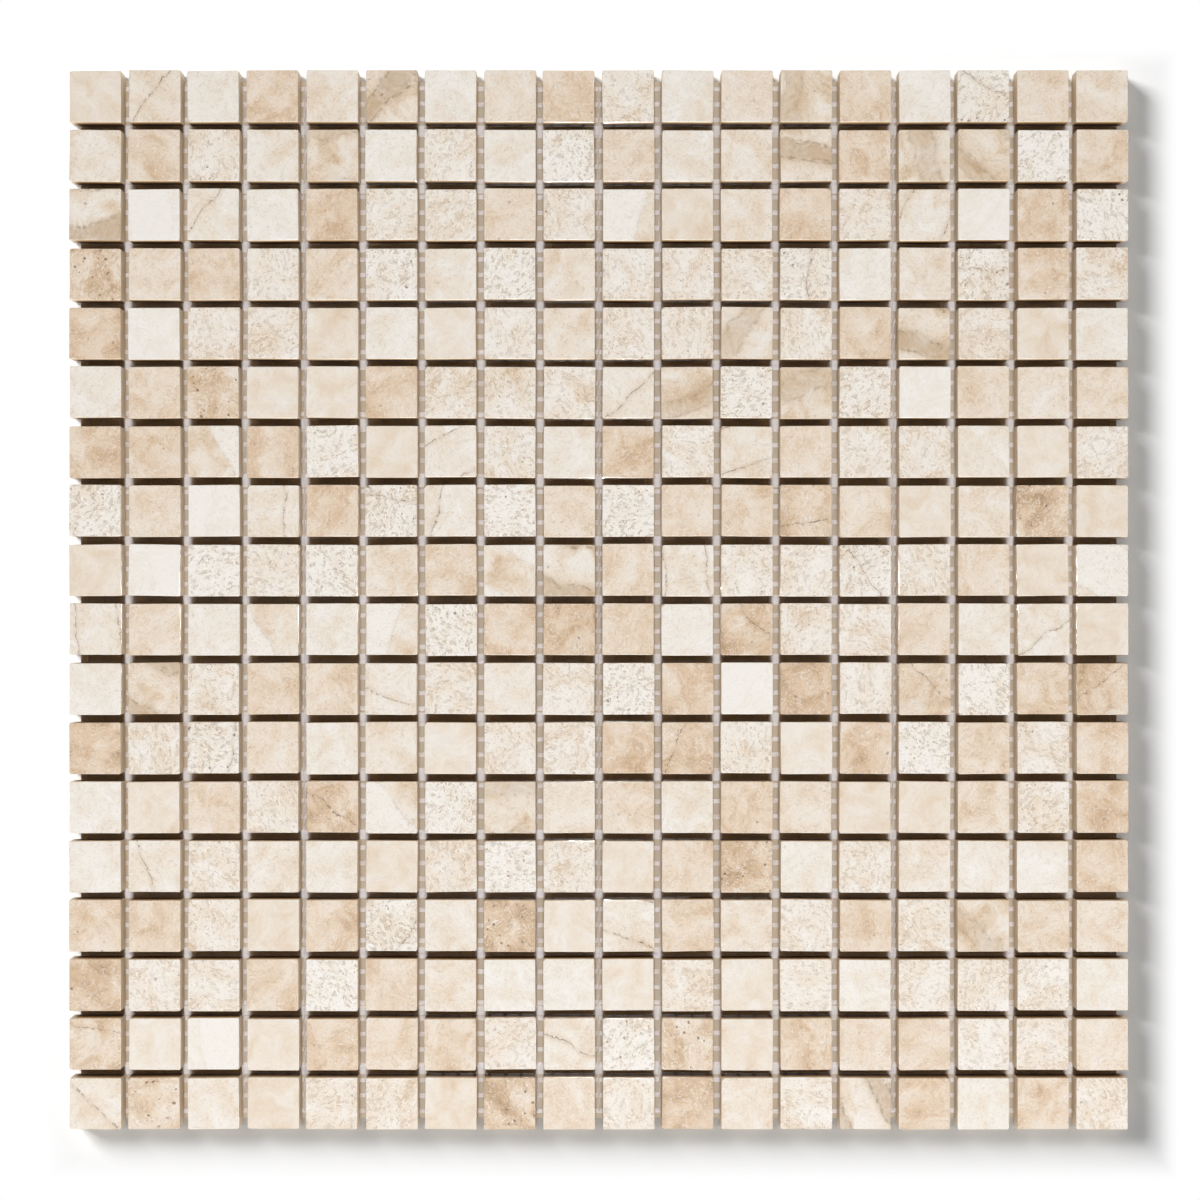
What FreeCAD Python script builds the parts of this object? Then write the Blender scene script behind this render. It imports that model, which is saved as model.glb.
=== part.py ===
import FreeCAD, Part
import os
import Sketcher

# Mosaic tile sheet: square polished marble chips in straight rows, bonded to an open glass-fibre net.
# The sheet lies face up. X runs along a row, Y across the rows, +Z is the polished side.
# The origin is at the middle of the sheet, on the underside of the net.

doc = FreeCAD.newDocument("mosaic_tile_sheet")

sizes = doc.addObject("Spreadsheet::Sheet", "sizes")
dimensions = [
    ("chip_side", 15.0, "edge length of one square chip"),
    ("chip_thickness", 7.0, "sawn back to polished face"),
    ("chip_arris", 0.4, "bevel ground round the polished face"),
    ("joint_width", 2.06, "open joint between neighbouring chips"),
    ("chips_in_row", 18, "chips along X"),
    ("row_count", 18, "rows along Y"),
    ("yarn_pitch", 4.5, "from one yarn of the net to the next, both ways"),
    ("warp_width", 1.1, "flat lengthwise yarn, along Y"),
    ("warp_thickness", 0.25, "lengthwise yarn, bottom to top"),
    ("weft_width", 1.2, "flat crosswise yarn, along X"),
    ("weft_thickness", 0.25, "crosswise yarn, bottom to top"),
    ("net_inset", 2.5, "cut ends of the yarns, in from the outer faces of the chips"),
]
for line, (alias, value, meaning) in enumerate(dimensions, start=1):
    sizes.set("A%d" % line, alias)
    sizes.set("B%d" % line, str(value))
    sizes.setAlias("B%d" % line, alias)
    sizes.set("C%d" % line, meaning)
doc.recompute()

# What follows from the sizes: the overall sheet, the yarns' lengths and how many fit.
layout = doc.addObject("App::VarSet", "layout")
derived = [
    ("Float", "chip_pitch", "sizes.chip_side + sizes.joint_width"),
    ("Float", "sheet_length", "sizes.chips_in_row * layout.chip_pitch - sizes.joint_width"),
    ("Float", "sheet_depth", "sizes.row_count * layout.chip_pitch - sizes.joint_width"),
    ("Float", "warp_length", "layout.sheet_depth - 2 * sizes.net_inset"),
    ("Float", "weft_length", "layout.sheet_length - 2 * sizes.net_inset"),
    ("Integer", "warp_count", "floor((layout.weft_length - sizes.warp_width) / sizes.yarn_pitch) + 1"),
    ("Integer", "weft_count", "floor((layout.warp_length - sizes.weft_width) / sizes.yarn_pitch) + 1"),
    ("Float", "net_thickness", "sizes.warp_thickness + sizes.weft_thickness"),
]
for kind, name, formula in derived:
    layout.addProperty("App::Property" + kind, name)
    layout.setExpression(name, formula)
    doc.recompute()


def origin_feature(body, role):
    return [f for f in body.Origin.OriginFeatures if f.Role == role][0]


# A rectangle on the body's XY plane, centred on its origin, with both sides bound to named sizes.
def centred_rectangle(body, name, along_x, along_y):
    sketch = body.newObject("Sketcher::SketchObject", name)
    sketch.AttachmentSupport = [(origin_feature(body, "XY_Plane"), "")]
    sketch.MapMode = "FlatFace"
    corners = [(-1, -1), (1, -1), (1, 1), (-1, 1)]
    for i in range(4):
        start = FreeCAD.Vector(*corners[i], 0)
        end = FreeCAD.Vector(*corners[(i + 1) % 4], 0)
        sketch.addGeometry(Part.LineSegment(start, end), False)
    for i in range(4):
        sketch.addConstraint(Sketcher.Constraint("Coincident", i, 2, (i + 1) % 4, 1))
    sketch.addConstraint(Sketcher.Constraint("Horizontal", 0))
    sketch.addConstraint(Sketcher.Constraint("Horizontal", 2))
    sketch.addConstraint(Sketcher.Constraint("Vertical", 1))
    sketch.addConstraint(Sketcher.Constraint("Vertical", 3))
    sketch.addConstraint(Sketcher.Constraint("Symmetric", 0, 1, 2, 1, -1, 1))
    width = sketch.addConstraint(Sketcher.Constraint("DistanceX", 0, 1, 0, 2, 2))
    depth = sketch.addConstraint(Sketcher.Constraint("DistanceY", 1, 1, 1, 2, 2))
    sketch.setExpression("Constraints[%d]" % width, along_x)
    sketch.setExpression("Constraints[%d]" % depth, along_y)
    return sketch


def pad(body, name, sketch, height):
    feature = body.newObject("PartDesign::Pad", name)
    feature.Profile = sketch
    feature.setExpression("Length", height)
    doc.recompute()
    return feature


# Repeats the body's one piece at an even pitch along one of its axes, as separate solids.
def repeat(body, name, axis, count, pitch):
    pattern = body.newObject("PartDesign::LinearPattern", name)
    pattern.TransformMode = "Whole shape"
    pattern.Direction = (origin_feature(body, axis), [""])
    pattern.Mode = "Spacing"
    pattern.setExpression("Offset", pitch)
    pattern.setExpression("Occurrences", count)
    body.Tip = pattern
    return pattern


# One row of chips. Row 1 is at the far side of the sheet, at the largest Y.
# A chip is sawn square, and its polished face has a small bevel on all four edges.
def chip_row(number):
    row = "chip_row_%02d" % number
    body = doc.addObject("PartDesign::Body", row)
    body.Label = row
    square = centred_rectangle(body, row + "_outline", "sizes.chip_side", "sizes.chip_side")
    chip = pad(body, row + "_chip", square, "sizes.chip_thickness")
    faces = enumerate(chip.Shape.Faces, start=1)
    polished = max(faces, key=lambda numbered: numbered[1].CenterOfMass.z)[0]
    arris = body.newObject("PartDesign::Chamfer", row + "_arris")
    arris.Base = (chip, ["Face%d" % polished])
    arris.setExpression("Size", "sizes.chip_arris")
    doc.recompute()
    repeat(body, row + "_chips", "X_Axis", "sizes.chips_in_row", "layout.chip_pitch")
    body.setExpression("Placement.Base.x", "-(sizes.chips_in_row - 1) / 2 * layout.chip_pitch")
    body.setExpression(
        "Placement.Base.y", "((sizes.row_count + 1) / 2 - %d) * layout.chip_pitch" % number
    )
    body.setExpression("Placement.Base.z", "layout.net_thickness")
    return body


# The crosswise yarns are the lower layer of the net, which the sheet lies on.
def weft_yarns():
    body = doc.addObject("PartDesign::Body", "net_weft_yarns")
    body.Label = "net_weft_yarns"
    flat = centred_rectangle(body, "weft_outline", "layout.weft_length", "sizes.weft_width")
    pad(body, "weft_yarn", flat, "sizes.weft_thickness")
    repeat(body, "weft_layer", "Y_Axis", "layout.weft_count", "sizes.yarn_pitch")
    body.setExpression("Placement.Base.y", "-(layout.weft_count - 1) / 2 * sizes.yarn_pitch")
    return body


# The lengthwise yarns lie across them, and the chips are bonded to their upper faces.
def warp_yarns():
    body = doc.addObject("PartDesign::Body", "net_warp_yarns")
    body.Label = "net_warp_yarns"
    flat = centred_rectangle(body, "warp_outline", "sizes.warp_width", "layout.warp_length")
    pad(body, "warp_yarn", flat, "sizes.warp_thickness")
    repeat(body, "warp_layer", "X_Axis", "layout.warp_count", "sizes.yarn_pitch")
    body.setExpression("Placement.Base.x", "-(layout.warp_count - 1) / 2 * sizes.yarn_pitch")
    body.setExpression("Placement.Base.z", "sizes.weft_thickness")
    return body


nodes = [chip_row(number) for number in range(1, int(sizes.row_count) + 1)]
nodes.append(weft_yarns())
nodes.append(warp_yarns())
doc.recompute()

for item in doc.Objects:
    if "Invalid" in item.State or "Error" in item.State:
        raise RuntimeError("%s did not recompute: %s" % (item.Name, item.State))
for node in nodes:
    if node.Shape.isNull() or not node.Shape.isValid():
        raise RuntimeError("%s has no valid shape" % node.Label)

os.makedirs("parts", exist_ok=True)
for node in nodes:
    node.Shape.exportStep("parts/%s.step" % node.Label)
    box = node.Shape.BoundBox
    print(node.Label, len(node.Shape.Solids), "solids,", round(node.Shape.Volume, 1), "mm3")
    print("  from", round(box.XMin, 2), round(box.YMin, 2), round(box.ZMin, 2))
    print("  to", round(box.XMax, 2), round(box.YMax, 2), round(box.ZMax, 2))
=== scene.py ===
import math
import random

import bmesh
import bpy
from mathutils import Euler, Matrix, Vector, noise


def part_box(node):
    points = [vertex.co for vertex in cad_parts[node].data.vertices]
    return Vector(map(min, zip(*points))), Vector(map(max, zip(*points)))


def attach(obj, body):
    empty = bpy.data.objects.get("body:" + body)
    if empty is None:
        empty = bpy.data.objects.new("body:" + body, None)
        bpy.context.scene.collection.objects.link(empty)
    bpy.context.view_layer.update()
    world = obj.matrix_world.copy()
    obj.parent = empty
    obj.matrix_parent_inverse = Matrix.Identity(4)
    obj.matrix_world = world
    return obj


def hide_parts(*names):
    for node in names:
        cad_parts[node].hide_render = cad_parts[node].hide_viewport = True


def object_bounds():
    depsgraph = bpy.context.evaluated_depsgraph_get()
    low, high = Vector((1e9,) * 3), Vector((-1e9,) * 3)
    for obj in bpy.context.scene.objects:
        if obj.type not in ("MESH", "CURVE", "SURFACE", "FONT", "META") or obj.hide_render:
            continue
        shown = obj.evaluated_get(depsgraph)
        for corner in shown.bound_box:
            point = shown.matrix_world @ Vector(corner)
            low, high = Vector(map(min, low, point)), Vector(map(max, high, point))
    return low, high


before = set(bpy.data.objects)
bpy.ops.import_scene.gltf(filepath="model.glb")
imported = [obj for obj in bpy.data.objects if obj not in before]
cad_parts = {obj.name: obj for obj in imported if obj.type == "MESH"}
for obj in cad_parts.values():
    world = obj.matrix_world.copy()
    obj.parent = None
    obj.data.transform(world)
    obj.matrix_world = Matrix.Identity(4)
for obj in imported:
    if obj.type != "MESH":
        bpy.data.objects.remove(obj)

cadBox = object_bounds()
scene = bpy.context.scene
scene.view_settings.view_transform = "Standard"


def pickedColour(red, green, blue):  # read off a screen, 0 to 255, into the shader's linear units
    parts = [part / 255 for part in (red, green, blue)]
    linear = [p / 12.92 if p <= 0.04045 else ((p + 0.055) / 1.055) ** 2.4 for p in parts]
    return (*linear, 1.0)


class Wire:  # a node's output: sums and products of wires add their own Math nodes
    def __init__(self, paint, socket):
        self.paint = paint
        self.socket = socket

    def __add__(self, other):
        return self.paint.maths("ADD", self, other)

    def __radd__(self, other):
        return self.paint.maths("ADD", other, self)

    def __sub__(self, other):
        return self.paint.maths("SUBTRACT", self, other)

    def __rsub__(self, other):
        return self.paint.maths("SUBTRACT", other, self)

    def __mul__(self, other):
        return self.paint.maths("MULTIPLY", self, other)

    def __rmul__(self, other):
        return self.paint.maths("MULTIPLY", other, self)


class Paint:  # a material, or the world, and the nodes in it
    def __init__(self, owner):
        owner.use_nodes = True
        self.owner = owner
        self.tree = owner.node_tree
        self.tree.nodes.clear()

    def node(self, kind, settings, inputs, output=0):
        made = self.tree.nodes.new("ShaderNode" + kind)
        for name, value in settings.items():
            if name == "stops":
                ramp = made.color_ramp
                while len(ramp.elements) < len(value):
                    ramp.elements.new(0.5)
                for element, (place, tint) in zip(ramp.elements, value):
                    element.position = place
                    element.color = pickedColour(*tint)
            else:
                setattr(made, name, value)
        for name, value in inputs.items():
            if isinstance(value, Wire):
                self.tree.links.new(value.socket, made.inputs[name])
            else:
                made.inputs[name].default_value = value
        if isinstance(output, tuple):
            return [Wire(self, made.outputs[name]) for name in output]
        return Wire(self, made.outputs[output]) if len(made.outputs) else None

    def maths(self, operation, *values):
        return self.node("Math", {"operation": operation}, dict(enumerate(values)))

    def vector(self, operation, first, second):
        return self.node("VectorMath", {"operation": operation}, {0: first, 1: second})

    def scaled(self, vector, factor):
        return self.node("VectorMath", {"operation": "SCALE"}, {0: vector, "Scale": factor})

    def mix(self, factor, first, second, blend="MIX"):
        settings = {"data_type": "RGBA", "blend_type": blend, "clamp_factor": True}
        return self.node("Mix", settings, {0: factor, 6: first, 7: second}, 2)

    def tinted(self, colour, factor, tint, blend="MIX"):
        return self.mix(factor, colour, pickedColour(*tint), blend)

    def attribute(self, name, output):
        return self.node("Attribute", {"attribute_name": name}, {}, output)

    def objectPlace(self):
        return self.node("TexCoord", {}, {}, "Object")

    def parts(self, colour):
        return self.node("SeparateColor", {}, {0: colour}, (0, 1, 2))

    def coordinates(self, place):
        return self.node("SeparateXYZ", {}, {0: place}, (0, 1, 2))

    def cloud(self, place, scale, detail=3.0, roughness=0.5, output="Fac"):
        inputs = {"Vector": place, "Scale": scale, "Detail": detail, "Roughness": roughness}
        return self.node("TexNoise", {}, inputs, output)

    def ramp(self, value, low, high):  # 0 at low, 1 at high, eased between
        inputs = {"Value": value, "From Min": low, "From Max": high}
        return self.node("MapRange", {"interpolation_type": "SMOOTHSTEP"}, inputs)

    def near(self, value, level, width):  # 1 where value is at level, 0 beyond width either side
        return self.ramp(self.maths("ABSOLUTE", value - level), width, 0.0)

    def finish(self, inputs):
        shader = self.node("BsdfPrincipled", {}, inputs)
        self.node("OutputMaterial", {}, {"Surface": shader})
        return self.owner


def clearSelection():
    bpy.ops.object.select_all(action="DESELECT")


def selectOnly(*objects):
    clearSelection()
    for item in objects:
        item.select_set(True)
    bpy.context.view_layer.objects.active = objects[0]


def applyModifier(item, kind, **settings):
    selectOnly(item)
    modifier = item.modifiers.new(kind.title(), kind)
    for name, value in settings.items():
        setattr(modifier, name, value)
    bpy.ops.object.modifier_apply(modifier=modifier.name)


# Marble tints, and the stone's own tones from near white to brown.
marbleTints = {
    "warm": (255, 226, 202),
    "cool": (226, 217, 209),
    "calcite": (243, 238, 231),
    "darkStroke": (170, 145, 120),
    "darkDash": (158, 140, 120),
    "paleStroke": (251, 246, 239),
    "paleGrain": (250, 245, 238),
    "darkGrain": (188, 163, 138),
    "stain": (188, 158, 122),
    "streak": (140, 116, 86),
    "veinEdge": (190, 158, 124),
    "vein": (118, 88, 64),
    "pit": (112, 84, 60),
    # paler ground edge, partly a painted highlight
    "arris": (253, 243, 219),
    "sawn": (244, 226, 202),
    # a painted lit strip at the top of the crosswise joints' walls, then painted shade, brown and
    # dark
    "paintedLitTop": (252, 236, 196),
    "paintedShadeBrown": (180, 136, 78),
    "paintedDeepShade": (72, 42, 16),
    "glue": (206, 190, 166),
}
stoneTones = [
    (0.00, (244, 239, 232)),
    (0.20, (239, 231, 220)),
    (0.40, (234, 221, 204)),
    (0.55, (228, 210, 188)),
    (0.70, (219, 195, 167)),
    (0.85, (204, 176, 144)),
    (1.00, (180, 150, 116)),
]


# The polished face is z = 1 of the chip's own "face" coordinates, and "block" is where in the
# quarry block the chip was cut, in millimetres. "look" and "marks" hold what sets one chip apart.
def marbleMaterial():
    paint = Paint(bpy.data.materials.new("polishedMarble"))
    tint = marbleTints
    block = paint.attribute("block", "Vector")
    tone, crackle, veins = paint.parts(paint.attribute("look", "Color"))
    stain, pits, white = paint.parts(paint.attribute("marks", "Color"))
    warmth = paint.attribute("look", "Alpha")
    cloudy = paint.attribute("marks", "Alpha")
    faceX, faceY, faceZ = paint.coordinates(paint.attribute("face", "Vector"))
    polished = paint.ramp(faceZ, 0.930, 0.945)

    curl = paint.cloud(block, 0.13, 0.0, output="Color")
    swirl = paint.vector("SUBTRACT", curl, (0.5, 0.5, 0.5))
    bent = paint.vector("ADD", block, paint.scaled(swirl, 9.0))
    drift = paint.vector("ADD", block, paint.scaled(swirl, 3.0))
    across, lean, _ = paint.coordinates(drift)
    clouds = paint.cloud(bent, 0.12, 3.0, 0.55)
    mottle = paint.cloud(bent, 0.55, 2.0, 0.6)
    grain = paint.cloud(block, 1.7, 1.0, 0.6)

    arcs = paint.maths("SINE", across * 0.8 + clouds * 9.0)
    depth = tone + ((clouds - 0.5) * 2.2 + arcs * 0.12) * cloudy
    depth = depth + (mottle - 0.5) * (0.28 + crackle * 0.32)
    colour = paint.node("ValToRGB", {"stops": stoneTones}, {0: depth})
    colour = paint.tinted(colour, warmth * 0.25, tint["warm"], "MULTIPLY")

    # a cool greyish tinge here and there
    colour = paint.tinted(colour, paint.ramp(mottle - clouds, 0.04, 0.22) * 0.25, tint["cool"])

    # pale calcite that fills part of a chip, up to a vein
    seam = paint.maths("SINE", lean * 0.25 + mottle * 0.5)
    filled = paint.ramp(seam, -0.34, 0.26) * white
    colour = paint.tinted(colour, filled * 0.85, tint["calcite"])

    # worm-like strokes, dark and pale, denser in patches, and short dark dashes in the
    # roughest chips
    flow = paint.node("Mapping", {}, {"Vector": drift, "Scale": (1.0, 0.55, 1.0)})
    worm = paint.cloud(flow, 1.0, 1.0, 0.5)
    patch = paint.ramp(mottle + clouds, 0.84, 1.08) * crackle
    darkWorm = paint.near(worm, 0.43, 0.06) * paint.ramp(grain, 0.44, 0.58) * patch
    colour = paint.tinted(colour, darkWorm * 0.85, tint["darkStroke"])
    dash = paint.ramp(worm, 0.40, 0.32) * paint.ramp(crackle, 0.5, 1.4)
    dash = dash * paint.ramp(mottle, 0.34, 0.50)
    colour = paint.tinted(colour, dash * 0.46, tint["darkDash"])
    paleWorm = paint.near(worm, 0.55, 0.070) * paint.ramp(mottle, 0.42, 0.60) * crackle
    colour = paint.tinted(colour, paleWorm * 0.70, tint["paleStroke"])
    sugar = (0.26 + crackle * 0.50) * 0.5
    colour = paint.tinted(colour, paint.ramp(grain, 0.58, 0.74) * sugar, tint["paleGrain"])
    colour = paint.tinted(colour, paint.ramp(grain, 0.44, 0.26) * sugar, tint["darkGrain"])

    # a soft brown or olive stain across the chip, with a few darker streaks along one side
    wave = paint.maths("SINE", across * 0.40 + clouds * 2.2 + mottle * 0.5)
    soft = (0.35 + mottle * 0.9) * stain
    colour = paint.tinted(colour, paint.ramp(wave, -0.30, 1.0) * soft * 0.8, tint["stain"])
    streaks = paint.near(wave, 0.50, 0.30) * paint.ramp(worm, 0.42, 0.62) * soft
    colour = paint.tinted(colour, streaks * 0.7, tint["streak"])

    # a hairline vein, one or two across a chip, with a soft brown edge
    hairline = paint.near(seam, 0.0, 0.045) * paint.ramp(mottle, 0.40, 0.52) * veins
    halo = paint.near(seam, 0.0, 0.300) * veins
    colour = paint.tinted(colour, halo * 0.26, tint["veinEdge"])
    colour = paint.tinted(colour, hairline * 0.85, tint["vein"])

    # open pits, dark inside and ragged
    cellInputs = {"Vector": block, "Scale": 0.55}
    cellPlace, cellLot = paint.node(
        "TexVoronoi", {"voronoi_dimensions": "2D"}, cellInputs, ("Distance", "Color")
    )
    pitLot, pitSize, _ = paint.parts(cellLot)
    ragged = cellPlace + pitSize * 0.16 + (grain - 0.5) * 0.35
    pit = paint.ramp(ragged, 0.27, 0.17) * paint.ramp(pitLot + pits, 1.00, 1.06)
    colour = paint.tinted(colour, pit * 0.8, tint["pit"])

    # the ground arris, and the sides below it, are paler than the face: partly a matte ground
    # edge, partly a painted highlight along the chip's top edges
    colour = paint.tinted(colour, paint.ramp(faceZ, 0.997, 0.980) * 0.45, tint["arris"])

    # sawn sides: matte and paler in the lengthwise joints; in the crosswise joints a yellowish
    # painted lit strip at the top, and painted shade, brown and then dark, further down; the sawn
    # back has a film of glue
    sheetX, sheetY, _ = paint.coordinates(paint.objectPlace())
    outX, outY, sideX, sideY = [
        paint.maths("ABSOLUTE", part) for part in (sheetX, sheetY, faceX, faceY)
    ]
    inJoint = paint.ramp(paint.maths("MAXIMUM", outX, outY), 0.1518, 0.1500)
    back = paint.ramp(faceZ, 0.030, 0.005)
    crosswise = paint.ramp(sideY - sideX, -0.03, 0.03) * inJoint * (1 - back)
    saw = paint.maths("SINE", faceZ * 75.0 + faceX * back * 52.0 + grain * 5.0)
    sides = paint.tinted(colour, 0.66 + saw * 0.10, tint["sawn"])
    sides = paint.tinted(sides, crosswise, tint["paintedLitTop"], "MULTIPLY")
    sides = paint.tinted(sides, crosswise * paint.ramp(faceZ, 0.92, 0.68) * 0.8, tint["paintedShadeBrown"])
    sides = paint.tinted(sides, crosswise * paint.ramp(faceZ, 0.84, 0.40) * 0.97, tint["paintedDeepShade"])
    sides = paint.tinted(sides, back * paint.ramp(mottle, 0.40, 0.60) * 0.6, tint["glue"])
    colour = paint.mix(polished, sides, colour)

    roughness = 0.66 - polished * 0.38 + darkWorm * 0.10 + pit * 0.3
    sawMarks = saw * (1 - polished) * (1 - inJoint + back * inJoint)
    relief = grain * (0.3 + crackle) * polished + sawMarks * 0.5
    bump = paint.node("Bump", {}, {"Strength": 0.5, "Distance": 0.00004, "Height": relief})
    surface = {"Base Color": colour, "Roughness": roughness, "Normal": bump, "IOR": 1.5}
    return paint.finish(surface)


marble = marbleMaterial()
print("marble material made")


# The chips: one is modelled in a few variants, then copied into place, each with its own mesh.
chips = {
    "rows": 18,
    "inRow": 18,
    "nominalSide": 0.0150,
    "joint": 0.00206,
    "side": 0.01490,  # a little under the nominal size, which leaves room for unevenness
    "thickness": 0.00692,
    "cornerRound": 0.00028,
    "arris": 0.00020,
    "cornerPull": 0.00004,
    "flakeNormal": (0.62, 0.55, 0.56),
    "smoothUpTo": 15,
    "shift": 0.00016,
    "turn": 0.55,
    "tilt": 0.12,
    "spread": 0.0045,
    "toneShift": 0.07,
    "blockLean": 0.7,
    "blockTurn": 6.28,
    "blockSize": 3000,
    "hair": 0.00001,
    "seed": 41,
}

# for each variant: how many times the usual corner rounding and the usual arris it has, how far
# one corner is pinched in, and the flakes broken off its top corners
variantShapes = {
    "chipCrisp": (1.0, 1.0, 0.0, []),
    "chipPinched": (1.2, 0.9, 0.00010, []),
    "chipSoft": (1.7, 1.3, 0.00004, []),
    "chipFlaked": (1.0, 1.0, 0.00006, [(1, 1, 0.0006)]),
    "chipWorn": (1.4, 1.2, 0.0, [(-1, 1, 0.0005), (1, -1, 0.0004)]),
}
variantLots = [0] * 4 + [1] * 4 + [2] * 4 + [3, 4]


def selectWhere(item, kind, test):
    mesh = bmesh.from_edit_mesh(item.data)
    bpy.ops.mesh.select_all(action="DESELECT")
    mesh.select_mode = {kind}
    for part in {"VERT": mesh.verts, "EDGE": mesh.edges}[kind]:
        if test(part):
            part.select_set(True)
    mesh.select_flush_mode()
    bmesh.update_edit_mesh(item.data)


def isPinchedCorner(vert):
    return vert.co.x > 0 and vert.co.y > 0


def isUpright(edge):
    return abs(edge.verts[0].co.z - edge.verts[1].co.z) > chips["thickness"] / 2


def isTopEdge(edge):  # between the polished face and a side
    top = chips["thickness"] - chips["hair"]
    sides = [face for face in edge.link_faces if face.calc_center_median().z < top]
    return len(sides) > 0 and min(vert.co.z for vert in edge.verts) > top


def chipVariant(name, rounding, grinding, pinch, flakes):
    thickness = chips["thickness"]
    half = chips["side"] / 2
    clearSelection()
    bpy.ops.mesh.primitive_cube_add(size=1, location=(0, 0, thickness / 2))
    item = bpy.context.active_object
    item.name = name
    item.dimensions = (chips["side"], chips["side"], thickness)
    bpy.ops.object.transform_apply(location=True, rotation=False, scale=True)
    bpy.ops.object.mode_set(mode="EDIT")
    selectWhere(item, "VERT", isPinchedCorner)
    bpy.ops.transform.translate(value=(-pinch, pinch * 0.6 - chips["cornerPull"], 0))
    selectWhere(item, "EDGE", isUpright)
    bpy.ops.mesh.bevel(offset=chips["cornerRound"] * rounding, segments=2, affect="EDGES")
    selectWhere(item, "EDGE", isTopEdge)
    bpy.ops.mesh.bevel(
        offset=chips["arris"] * grinding, segments=2, affect="EDGES", clamp_overlap=True
    )
    normalX, normalY, normalZ = chips["flakeNormal"]
    for cornerX, cornerY, size in flakes:
        depth = size * 0.25
        bpy.ops.mesh.select_all(action="SELECT")
        bpy.ops.mesh.bisect(
            plane_co=(cornerX * (half - size), cornerY * (half - size * 0.6), thickness - depth),
            plane_no=(cornerX * normalX, cornerY * normalY, normalZ),
            use_fill=True,
            clear_outer=True,
        )
    bpy.ops.object.mode_set(mode="OBJECT")
    bpy.ops.object.shade_smooth_by_angle(angle=math.radians(chips["smoothUpTo"]))
    return item


variants = [chipVariant(name, *shape) for name, shape in variantShapes.items()]

# tone, from 0 near white to 1 brown, then how much shows of each feature: crackle, veins,
# warmth, stain, pits, white and clouds
looks = {
    "cream": (0.35, 0.50, 0.00, 0.25, 0.00, 0.02, 0.0, 0.50),
    "plain": (0.34, 0.14, 0.00, 0.20, 0.00, 0.00, 0.0, 0.40),
    "wormy": (0.31, 1.00, 0.10, 0.20, 0.00, 0.04, 0.2, 0.60),
    "pale": (0.23, 0.40, 0.05, 0.00, 0.00, 0.02, 0.3, 0.45),
    "white": (0.10, 0.12, 0.10, 0.00, 0.00, 0.00, 0.9, 0.30),
    "speckled": (0.20, 1.30, 0.00, 0.00, 0.00, 0.06, 0.5, 0.55),
    "beige": (0.47, 0.53, 0.05, 0.50, 0.00, 0.03, 0.0, 0.45),
    "olive": (0.50, 0.45, 0.10, 0.00, 0.60, 0.03, 0.0, 0.60),
    "tan": (0.61, 0.57, 0.10, 0.65, 0.00, 0.04, 0.0, 0.50),
    "deepTan": (0.76, 0.66, 0.10, 0.50, 0.10, 0.06, 0.0, 0.45),
    "pitted": (0.68, 0.80, 0.10, 0.40, 0.00, 0.24, 0.0, 0.60),
    "stained": (0.42, 0.50, 0.20, 0.20, 1.00, 0.05, 0.2, 0.60),
    "veined": (0.31, 0.45, 1.00, 0.10, 0.00, 0.02, 0.1, 0.50),
    "veinedTan": (0.60, 0.64, 1.00, 0.50, 0.15, 0.04, 0.0, 0.60),
    "cracked": (0.24, 1.30, 0.90, 0.00, 0.10, 0.08, 0.6, 0.60),
    "halfWhite": (0.44, 0.45, 0.30, 0.20, 0.00, 0.00, 1.0, 0.60),
}
commonLooks = ["cream"] * 4 + ["plain"] * 4 + ["wormy"] * 3
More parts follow.
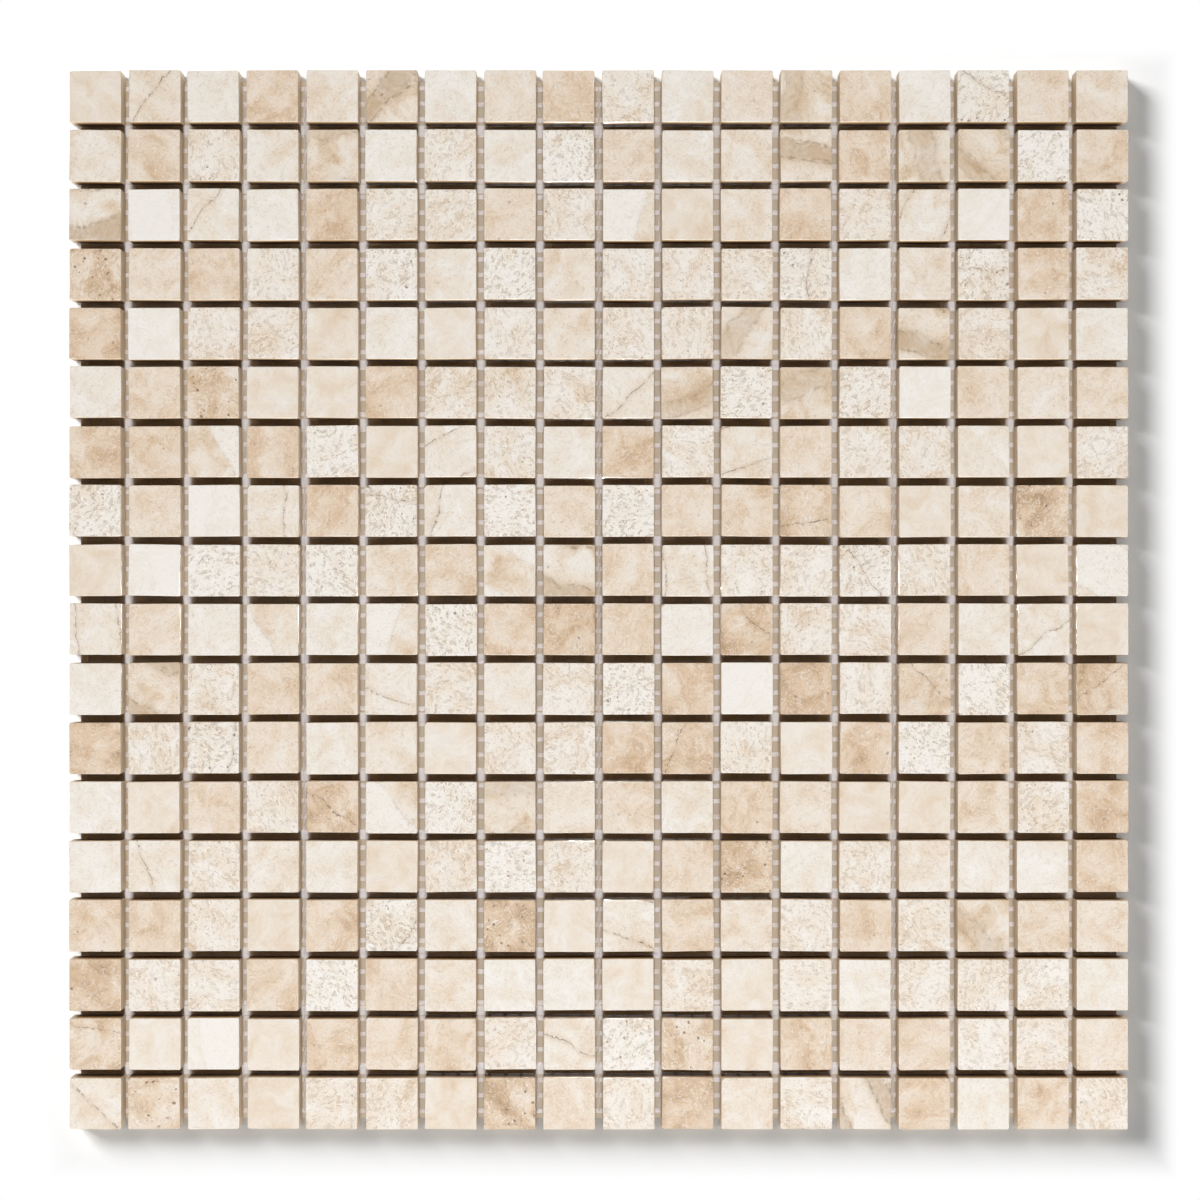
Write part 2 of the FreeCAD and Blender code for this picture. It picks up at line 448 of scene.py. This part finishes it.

# The chips that stand out: the row, counted from the far side, and the places in it, from the
# left. The others take one of the common looks.
notableChips = {
    "white": {3: [2, 16], 5: [2], 6: [15], 8: [3], 9: [2], 11: [12], 17: [3]},
    "halfWhite": {3: [10], 7: [3], 9: [8, 18], 10: [4, 6], 13: [6]},
    "pale": {
        1: [3, 7, 11, 15], 2: [4, 6, 8, 11], 3: [4], 4: [7, 14], 5: [6, 18], 6: [1], 7: [9, 16],
        10: [3, 5, 11, 16], 11: [1], 12: [5], 13: [1, 11], 14: [1, 5, 13, 16, 17], 15: [7],
        16: [8, 9, 14, 18], 18: [16],
    },
    "speckled": {
        2: [9, 17], 3: [18], 4: [6, 8], 6: [12, 14], 7: [5], 8: [1, 8, 10], 9: [3, 5], 10: [7],
        11: [10, 16], 12: [15], 13: [7], 14: [8], 16: [5], 17: [10],
    },
    "wormy": {
        1: [10], 2: [3], 3: [6, 9, 14], 4: [4, 12], 5: [3, 4, 8, 10, 11, 13, 16], 6: [7, 8, 9],
        7: [8, 11, 14, 15, 18], 9: [4, 15], 10: [13, 14], 11: [3, 14], 12: [8, 9, 12], 13: [17],
        14: [3, 7, 9], 15: [13, 15], 16: [2, 3, 11, 13, 15, 16], 17: [16],
        18: [5, 6, 10, 13, 18],
    },
    "beige": {
        1: [12, 14, 17], 2: [2, 10, 18], 3: [8], 4: [2, 5], 5: [14], 6: [2, 16, 18], 7: [13],
        8: [2, 9, 11, 12, 14], 9: [7, 10, 16], 10: [2, 10, 15], 11: [4, 5, 17], 12: [4, 16],
        13: [3, 10, 16], 14: [11], 15: [2, 11, 14, 17, 18], 16: [4, 6], 17: [6, 7, 14, 15, 18],
        18: [9],
    },
    "olive": {1: [13], 2: [5, 15, 16], 5: [12], 6: [11, 13], 13: [8], 15: [16]},
    "tan": {
        1: [4, 9], 2: [14], 3: [5, 13, 17], 4: [3, 17], 5: [1], 6: [6], 7: [1, 2, 4, 10], 8: [5],
        10: [8], 11: [11], 12: [1, 10, 14, 18], 13: [12, 18], 14: [18], 15: [1, 5], 17: [5, 13],
        18: [15, 17],
    },
    "deepTan": {10: [9], 11: [13], 16: [1], 18: [11]},
    "pitted": {4: [1], 6: [3], 8: [17], 14: [12], 15: [8], 17: [11], 18: [2, 8]},
    "stained": {1: [6], 2: [13], 3: [1], 5: [15], 9: [9], 11: [2], 18: [14]},
    "veined": {
        1: [2], 3: [3, 15], 6: [10], 7: [7, 12], 8: [4, 7], 9: [11], 10: [1, 17], 11: [6],
        14: [2], 15: [10], 17: [9], 18: [1],
    },
    "veinedTan": {8: [13], 10: [12], 11: [15, 18], 12: [11], 13: [5], 17: [1]},
    "cracked": {1: [16], 4: [13, 16], 8: [6], 9: [14], 12: [3], 15: [6]},
}
handPicked = {
    (row, place): look
    for look, rows in notableChips.items()
    for row, places in rows.items()
    for place in places
}


def setAttribute(mesh, name, kind, values):
    layer = mesh.attributes.new(name, kind, "POINT")
    flat = [part for value in values for part in value]
    layer.data.foreach_set({"FLOAT_VECTOR": "vector", "FLOAT_COLOR": "color"}[kind], flat)


def keepInSheet(verts, bottom):  # sets a chip down, and moves it in where it would stand out
    push = Vector((0, 0, bottom - min(vert.co.z for vert in verts)))
    for axis in (0, 1):
        reach = [vert.co[axis] for vert in verts]
        push[axis] = max(cadBox[0][axis] - min(reach), 0) - max(max(reach) - cadBox[1][axis], 0)
    for vert in verts:
        vert.co += push


def layChip(row, place, lowCorner, highCorner, dice):
    source = variants[dice.choice(variantLots)]
    item = source.copy()
    item.data = source.data.copy()
    scene.collection.objects.link(item)

    quarter = Euler((0, 0, math.radians(90 * dice.randrange(4))))
    width = 1 + dice.uniform(-1, 0.6) * chips["spread"]
    length = width + dice.uniform(-0.5, 0.5) * chips["spread"]
    tilt = math.radians(chips["tilt"])
    tilts = (dice.uniform(-tilt, tilt), dice.uniform(-tilt, tilt))
    turn = Euler((*tilts, math.radians(dice.gauss(0, chips["turn"] / 2))))
    pitch = (highCorner.x - lowCorner.x + chips["joint"]) / chips["inRow"]
    firstX = lowCorner.x + chips["nominalSide"] / 2
    centre = Vector((
        firstX + (place - 1) * pitch + dice.uniform(-1, 1) * chips["shift"],
        (lowCorner.y + highCorner.y) / 2 + dice.uniform(-1, 1) * chips["shift"],
        lowCorner.z,
    ))
    look = looks[handPicked.get((row, place)) or dice.choice(commonLooks)]
    tone, crackle, veins, warmth, stain, pits, white, cloudy = look
    tone += dice.uniform(-chips["toneShift"], chips["toneShift"])
    lean = chips["blockLean"]
    leans = (dice.uniform(-lean, lean), dice.uniform(-lean, lean))
    cut = Euler((*leans, dice.uniform(0, chips["blockTurn"])))
    blockPlace = Vector([dice.uniform(0, chips["blockSize"]) for axis in range(3)])

    half = chips["side"] / 2
    faces, blocks = [], []
    for vert in item.data.vertices:
        turned = vert.co.copy()
        turned.rotate(quarter)
        faces.append((turned.x / half, turned.y / half, turned.z / chips["thickness"]))
        inBlock = turned * 1000
        inBlock.rotate(cut)
        blocks.append(inBlock + blockPlace)
        turned.x *= width
        turned.y *= length
        turned.rotate(turn)
        vert.co = turned + centre
    keepInSheet(item.data.vertices, lowCorner.z)

    count = len(faces)
    setAttribute(item.data, "face", "FLOAT_VECTOR", faces)
    setAttribute(item.data, "block", "FLOAT_VECTOR", blocks)
    setAttribute(item.data, "look", "FLOAT_COLOR", [(tone, crackle, veins, warmth)] * count)
    setAttribute(item.data, "marks", "FLOAT_COLOR", [(stain, pits, white, cloudy)] * count)
    return item


marbleRows = []
for row in range(1, chips["rows"] + 1):
    name = "chip_row_%02d" % row
    dice = random.Random(chips["seed"] * 100 + row)
    low, high = [Vector(corner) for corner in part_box(name)]
    laid = [layChip(row, place, low, high, dice) for place in range(1, chips["inRow"] + 1)]
    selectOnly(*laid)
    bpy.ops.object.join()
    rowOfChips = bpy.context.active_object
    rowOfChips.name = "marbleRow%02d" % row
    rowOfChips.data.name = rowOfChips.name
    rowOfChips.data.materials.clear()
    rowOfChips.data.materials.append(marble)
    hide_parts(name)
    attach(rowOfChips, "root")
    marbleRows.append(rowOfChips)
for variant in variants:
    bpy.data.objects.remove(variant)
print(chips["rows"] * chips["inRow"], "chips laid in", len(marbleRows), "rows")


# Three places under the joints, where painted shade and painted light go: inside the crosswise
# ones, where they cross the lengthwise ones, and along the walls of the lengthwise ones.
# Distances are from the middle of a joint, in metres.
def underJoints(paint, along, across):
    halfPitch = (chips["nominalSide"] + chips["joint"]) / 2
    fromLengthwise = paint.maths("PINGPONG", along, halfPitch)
    fromCrosswise = paint.maths("PINGPONG", across, halfPitch)
    inCrosswise = paint.ramp(fromCrosswise, 0.0016, 0.0011)
    crosswise = inCrosswise * paint.ramp(fromLengthwise, 0.0009, 0.0022)
    crossing = inCrosswise * paint.ramp(fromLengthwise, 0.0018, 0.0010)
    paintedWallShade = paint.ramp(fromLengthwise, 0.00045, 0.00110) * (1 - inCrosswise)
    return crosswise, crossing, paintedWallShade


# The net: flat crosswise yarns, and lengthwise yarns of two strands that twist round each.
net = {
    "pitch": 0.0045,
    "weftWidth": 0.0015,
    "weftThickness": 0.00014,
    "weftMiddle": 0.00009,
    "weftSides": 6,
    "weftPieces": 32,
    "strandWidth": 0.00048,
    "strandThickness": 0.00015,
    "strandSides": 3,
    "strandPieces": 3,
    "twist": 0.00026,
    "rise": 0.00016,
    "mergeWithin": 0.00002,
    "wander": 0.00016,
    "slowWander": 28,
    "quickWander": 170,
}
netTints = {
    "fibre": (250, 246, 250),
    "worn": (242, 235, 236),
    "soaked": (206, 193, 174),
    "glint": (250, 248, 252),
    "upper": (208, 196, 180),
    # painted shade beside the walls and in the crosswise joints, painted light where they cross
    "paintedWallShade": (180, 164, 140),
    "paintedJointShade": (182, 150, 112),
    "crossing": (251, 247, 251),
}


def netMaterial():
    paint = Paint(bpy.data.materials.new("glassFibreNet"))
    tint = netTints
    place = paint.objectPlace()
    along, across, up = paint.coordinates(place)
    worn = paint.cloud(place, 130.0, 3.0, 0.6)
    soaked = paint.ramp(paint.cloud(place, 420.0, 2.0), 0.44, 0.60)
    fibres = paint.cloud(place, 5200.0, 2.0)
    colour = paint.mix(worn, pickedColour(*tint["fibre"]), pickedColour(*tint["worn"]))
    colour = paint.tinted(colour, soaked * 0.50, tint["soaked"])
    colour = paint.tinted(colour, fibres * 0.25, tint["glint"])
    colour = paint.tinted(colour, paint.ramp(up, 0.00014, 0.00024) * 0.6, tint["upper"])

    # painted shade: darker beside the walls, and brown in the crosswise joints except at the very
    # bottom; painted light, pale, where the joints cross
    crosswise, crossing, paintedWallShade = underJoints(paint, along, across)
    paintedNetShade = crosswise * paint.ramp(up, 0.00004, 0.00010)
    colour = paint.tinted(colour, paintedWallShade * 0.4, tint["paintedWallShade"])
    colour = paint.tinted(colour, paintedNetShade * 0.9, tint["paintedJointShade"])
    colour = paint.tinted(colour, crossing * 0.7, tint["crossing"])
    roughness = 0.62 - soaked * 0.25 + fibres * 0.1
    bump = paint.node("Bump", {}, {"Strength": 0.4, "Distance": 0.00005, "Height": fibres})
    return paint.finish({"Base Color": colour, "Roughness": roughness, "Normal": bump})


def ovalTube(name, width, thickness, sides, stations):
    clearSelection()
    bpy.ops.mesh.primitive_circle_add(
        vertices=sides, radius=0.5, fill_type="NOTHING", location=(0, 0, 0)
    )
    item = bpy.context.active_object
    item.name = name
    bpy.ops.object.mode_set(mode="EDIT")
    bpy.ops.mesh.select_all(action="SELECT")
    bpy.ops.transform.rotate(
        value=math.radians(-90), orient_axis="X", center_override=(0, 0, 0)
    )
    bpy.ops.transform.resize(value=(width, 1, thickness), center_override=(0, 0, 0))
    bpy.ops.transform.translate(value=stations[0])
    for start, end in zip(stations, stations[1:]):
        step = [b - a for a, b in zip(start, end)]
        bpy.ops.mesh.extrude_region_move(TRANSFORM_OT_translate={"value": step})
    bpy.ops.object.mode_set(mode="OBJECT")
    return item


def repeat(item, count, step, **merging):
    applyModifier(item, "ARRAY", count=count, use_relative_offset=False,
                  use_constant_offset=True, constant_offset_displace=step, **merging)


# Each strand is made over two pitches, which is one full twist, and repeated along the yarn.
def lengthwiseYarns(count, firstX, firstY, middle, twists):
    pitch = net["pitch"]
    steps = [step / net["strandPieces"] for step in range(2 * net["strandPieces"] + 1)]
    strands = []
    for side in (1, -1):
        stations = [
            (
                firstX + side * net["twist"] * math.sin(math.pi * step),
                firstY + step * pitch,
                middle + side * net["rise"] * math.cos(math.pi * step),
            )
            for step in steps
        ]
        strand = ovalTube(
            "strand", net["strandWidth"], net["strandThickness"], net["strandSides"], stations
        )
        repeat(strand, twists, (0, 2 * pitch, 0),
               use_merge_vertices=True, merge_threshold=net["mergeWithin"])
        strands.append(strand)
    selectOnly(*strands)
    bpy.ops.object.join()
    yarns = bpy.context.active_object
    bpy.ops.object.transform_apply()
    repeat(yarns, count, (pitch, 0, 0))
    return yarns


def crosswiseYarns(count, lowX, length, firstY, middle):
    pieces = net["weftPieces"]
    stations = [(0, step * length / pieces, middle) for step in range(pieces + 1)]
    yarns = ovalTube("weft", net["weftWidth"], net["weftThickness"], net["weftSides"], stations)
    bpy.ops.object.mode_set(mode="EDIT")
    bpy.ops.mesh.select_all(action="SELECT")
    bpy.ops.transform.rotate(
        value=math.radians(90), orient_axis="Z", center_override=(0, 0, 0)
    )
    bpy.ops.object.mode_set(mode="OBJECT")
    madeLowX = min(vert.co.x for vert in yarns.data.vertices)
    for vert in yarns.data.vertices:
        vert.co.x += lowX - madeLowX
        vert.co.y += firstY
    repeat(yarns, count, (0, net["pitch"], 0))
    return yarns


def letWander(mesh):  # the yarns wander a little, as a hand-laid net does
    slow, quick, far = net["slowWander"], net["quickWander"], net["wander"]
    for vert in mesh.vertices:
        spot = Vector((vert.co.x * slow, vert.co.y * slow, 3.0))
        fine = Vector((vert.co.x * quick, vert.co.y * quick, 9.0))
        vert.co.x += noise.noise(spot) * far * 2 + noise.noise(fine) * far
        vert.co.y += noise.noise(spot + Vector((5, 7, 1))) * far * 2


def netPiece():
    warpLow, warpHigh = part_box("net_warp_yarns")
    weftLow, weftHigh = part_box("net_weft_yarns")
    warpCount = round((warpHigh[0] - warpLow[0]) / net["pitch"]) + 1
    weftCount = round((weftHigh[1] - weftLow[1]) / net["pitch"]) + 1
    firstX = -(warpCount - 1) / 2 * net["pitch"]
    firstY = -(weftCount - 1) / 2 * net["pitch"]
    middle = (weftLow[2] + warpHigh[2]) / 2
    weftMiddle = weftLow[2] + net["weftMiddle"]
    warp = lengthwiseYarns(warpCount, firstX, firstY, middle, (weftCount - 1) // 2)
    weft = crosswiseYarns(weftCount, weftLow[0], weftHigh[0] - weftLow[0], firstY, weftMiddle)
    selectOnly(warp, weft)
    bpy.ops.object.join()
    item = bpy.context.active_object
    item.name = "backingNet"
    item.data.name = item.name
    letWander(item.data)
    bpy.ops.object.mode_set(mode="EDIT")
    bpy.ops.mesh.select_all(action="SELECT")
    bpy.ops.mesh.normals_make_consistent(inside=False)
    bpy.ops.object.mode_set(mode="OBJECT")
    item.data.materials.clear()
    item.data.materials.append(netMaterial())
    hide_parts("net_warp_yarns", "net_weft_yarns")
    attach(item, "root")
    return item


backingNet = netPiece()
print("net woven:", len(backingNet.data.polygons), "faces")


# The studio: each lamp gives its share of a full white, so that a colour renders about as written.
# The sheet and the table under it have lamps on four sides, and one below for a look at the back.
# The table around it has a lamp from above and one from the far left, which makes the shadow.
studio = {
    "skyShare": 0.10,
    "floorSize": 12.0,
    "floorCutOut": 0.3010,
    "floorBelow": 0.00002,
    "shadowAside": 0.0080,
    "shadowFrom": 0.1615,
    "shadowTo": 0.1690,
    # the card under the sheet, darker than the table: painted shade; then painted shade and
    # painted light under its joints
    "paintedShadeCardColour": (0.66, 0.58, 0.48, 1),
    "paintedJointShadeColour": (0.56, 0.38, 0.21, 1),
    "paintedCrossingLightColour": (0.95, 0.91, 0.90, 1),
    "tableColour": (0.97, 0.97, 0.97, 1),
    "white": (1, 1, 1, 1),
}

# for each lamp: share, azimuth, elevation, distance, width and height
sheetLamps = {
    "southLamp": (0.36, 270, 55, 2.6, 0.36, 1.0),
    "northLamp": (0.16, 90, 50, 2.6, 0.36, 1.0),
    "westLamp": (0.18, 222, 52, 2.0, 0.6, 0.6),
    "eastLamp": (0.20, 318, 52, 2.0, 0.6, 0.6),
    "backLamp": (0.85, 0, -89.99, 40.0, 0.5, 0.5),
}
tableLamps = {
    "shadowLamp": (0.66, 145, 33, 3.2, 1.35, 1.35),
    "overheadLamp": (0.24, 0, 89.9, 2.6, 1.2, 1.2),
}


def addLamp(name, share, azimuth, elevation, distance, width, height, lit):
    around, up = math.radians(azimuth), math.radians(elevation)
    level = math.cos(up)
    outward = Vector((math.cos(around) * level, math.sin(around) * level, math.sin(up)))
    place = outward * distance
    clearSelection()
    bpy.ops.object.light_add(type="AREA", location=place)
    lamp = bpy.context.active_object
    lamp.name = name
    lamp.rotation_euler = place.to_track_quat("Z", "Y").to_euler()
    lamp.data.shape = "RECTANGLE"
    lamp.data.size = width
    lamp.data.size_y = height
    lamp.data.energy = share * math.pi**2 * distance**2 / abs(math.sin(up))
    lamp.light_linking.receiver_collection = lit


onSheet = bpy.data.collections.new("litWithTheSheet")
onTable = bpy.data.collections.new("litAroundTheSheet")
for lamps, lit in ((sheetLamps, onSheet), (tableLamps, onTable)):
    for name, settings in lamps.items():
        addLamp(name, *settings, lit)
# the lamp below lights only what is seen directly, so none of it comes up through the joints
bpy.data.objects["backLamp"].data.cycles.max_bounces = 0

# the sky is white where it is seen or mirrored, and lights the scene only faintly
sky = Paint(bpy.data.worlds.new("paleStudio"))
seenOrMirrored = sky.maths(
    "MAXIMUM", *sky.node("LightPath", {}, {}, ("Is Camera Ray", "Is Glossy Ray"))
)
strengths = {"Value": seenOrMirrored, "To Min": studio["skyShare"], "To Max": 1.0}
strength = sky.node("MapRange", {}, strengths)
background = sky.node("Background", {}, {"Color": studio["white"], "Strength": strength})
sky.node("OutputWorld", {}, {"Surface": background})
scene.world = sky.owner


# The floor is white to the camera away from the sheet, and clear from below and to the lamps.
def floorMaterial(name, paper, paintedJointShade, paintedCrossingLight):
    paint = Paint(bpy.data.materials.new(name))
    along, across, _ = paint.coordinates(paint.objectPlace())
    aside = studio["shadowAside"]
    reach = along
    for side in (aside - along, 0.0 - across, across + aside):
        reach = paint.maths("MAXIMUM", reach, side)
    far = paint.ramp(reach, studio["shadowFrom"], studio["shadowTo"])
    seen, toLamp = paint.node("LightPath", {}, {}, ("Is Camera Ray", "Is Shadow Ray"))
    below = paint.node("NewGeometry", {}, {}, "Backfacing")
    crosswise, crossing, paintedWallShade = underJoints(paint, along, across)
    # painted shade on the card: brown under the crosswise joints and along the lengthwise walls;
    # painted light, near white, where the joints cross
    paper = paint.mix(crosswise + paintedWallShade * 0.6, paper, paintedJointShade)
    paper = paint.mix(crossing, paper, paintedCrossingLight)
    card = paint.node("BsdfDiffuse", {}, {"Color": paper})
    glow = paint.node("Emission", {}, {"Color": studio["white"], "Strength": 1.0})
    clear = paint.node("BsdfTransparent", {}, {})
    shader = paint.node("MixShader", {}, {0: far * seen, 1: card, 2: glow})
    unseen = paint.maths("MAXIMUM", below, toLamp)
    shader = paint.node("MixShader", {}, {0: unseen, 1: shader, 2: clear})
    paint.node("OutputMaterial", {}, {"Surface": shader})
    return paint.owner


def addFloor(name, size, lit, paper, paintedJointShade, paintedCrossingLight):
    clearSelection()
    bpy.ops.mesh.primitive_plane_add(size=size, location=(0, 0, 0))
    floor = bpy.context.active_object
    floor.name = name
    floor.location.z = cadBox[0].z - studio["floorBelow"]
    floor.data.materials.append(floorMaterial(name, paper, paintedJointShade, paintedCrossingLight))
    lit.objects.link(floor)


# the card under the sheet is darker and browner than the table around it: painted shade
cardColours = (studio["paintedShadeCardColour"], studio["paintedJointShadeColour"], studio["paintedCrossingLightColour"])
addFloor("tableUnder", studio["floorCutOut"], onSheet, *cardColours)
addFloor("tableAround", studio["floorSize"], onTable, *[studio["tableColour"]] * 3)
bpy.ops.object.mode_set(mode="EDIT")
bpy.ops.mesh.inset(thickness=(studio["floorSize"] - studio["floorCutOut"]) / 2, depth=0)
bpy.ops.mesh.delete(type="FACE")
bpy.ops.object.mode_set(mode="OBJECT")
for piece in marbleRows + [backingNet]:
    onSheet.objects.link(piece)

# a long lens straight above; "aside" and "down" set the sheet in the picture
camera = {
    "aboveSheet": 0.750,
    "pictureWidth": 0.3454,
    "sensor": 36.0,
    "nearClip": 0.01,
    "aside": 0.00037,
    "down": -0.00005,
}
clearSelection()
cameraPlace = (camera["aside"], camera["down"], cadBox[1].z + camera["aboveSheet"])
bpy.ops.object.camera_add(location=cameraPlace, rotation=(0, 0, 0))
overhead = bpy.context.active_object
overhead.name = "overheadCamera"
overhead.data.sensor_width = camera["sensor"]
overhead.data.lens = camera["sensor"] * camera["aboveSheet"] / camera["pictureWidth"]
overhead.data.clip_start = camera["nearClip"]
scene.camera = overhead
print("studio set")
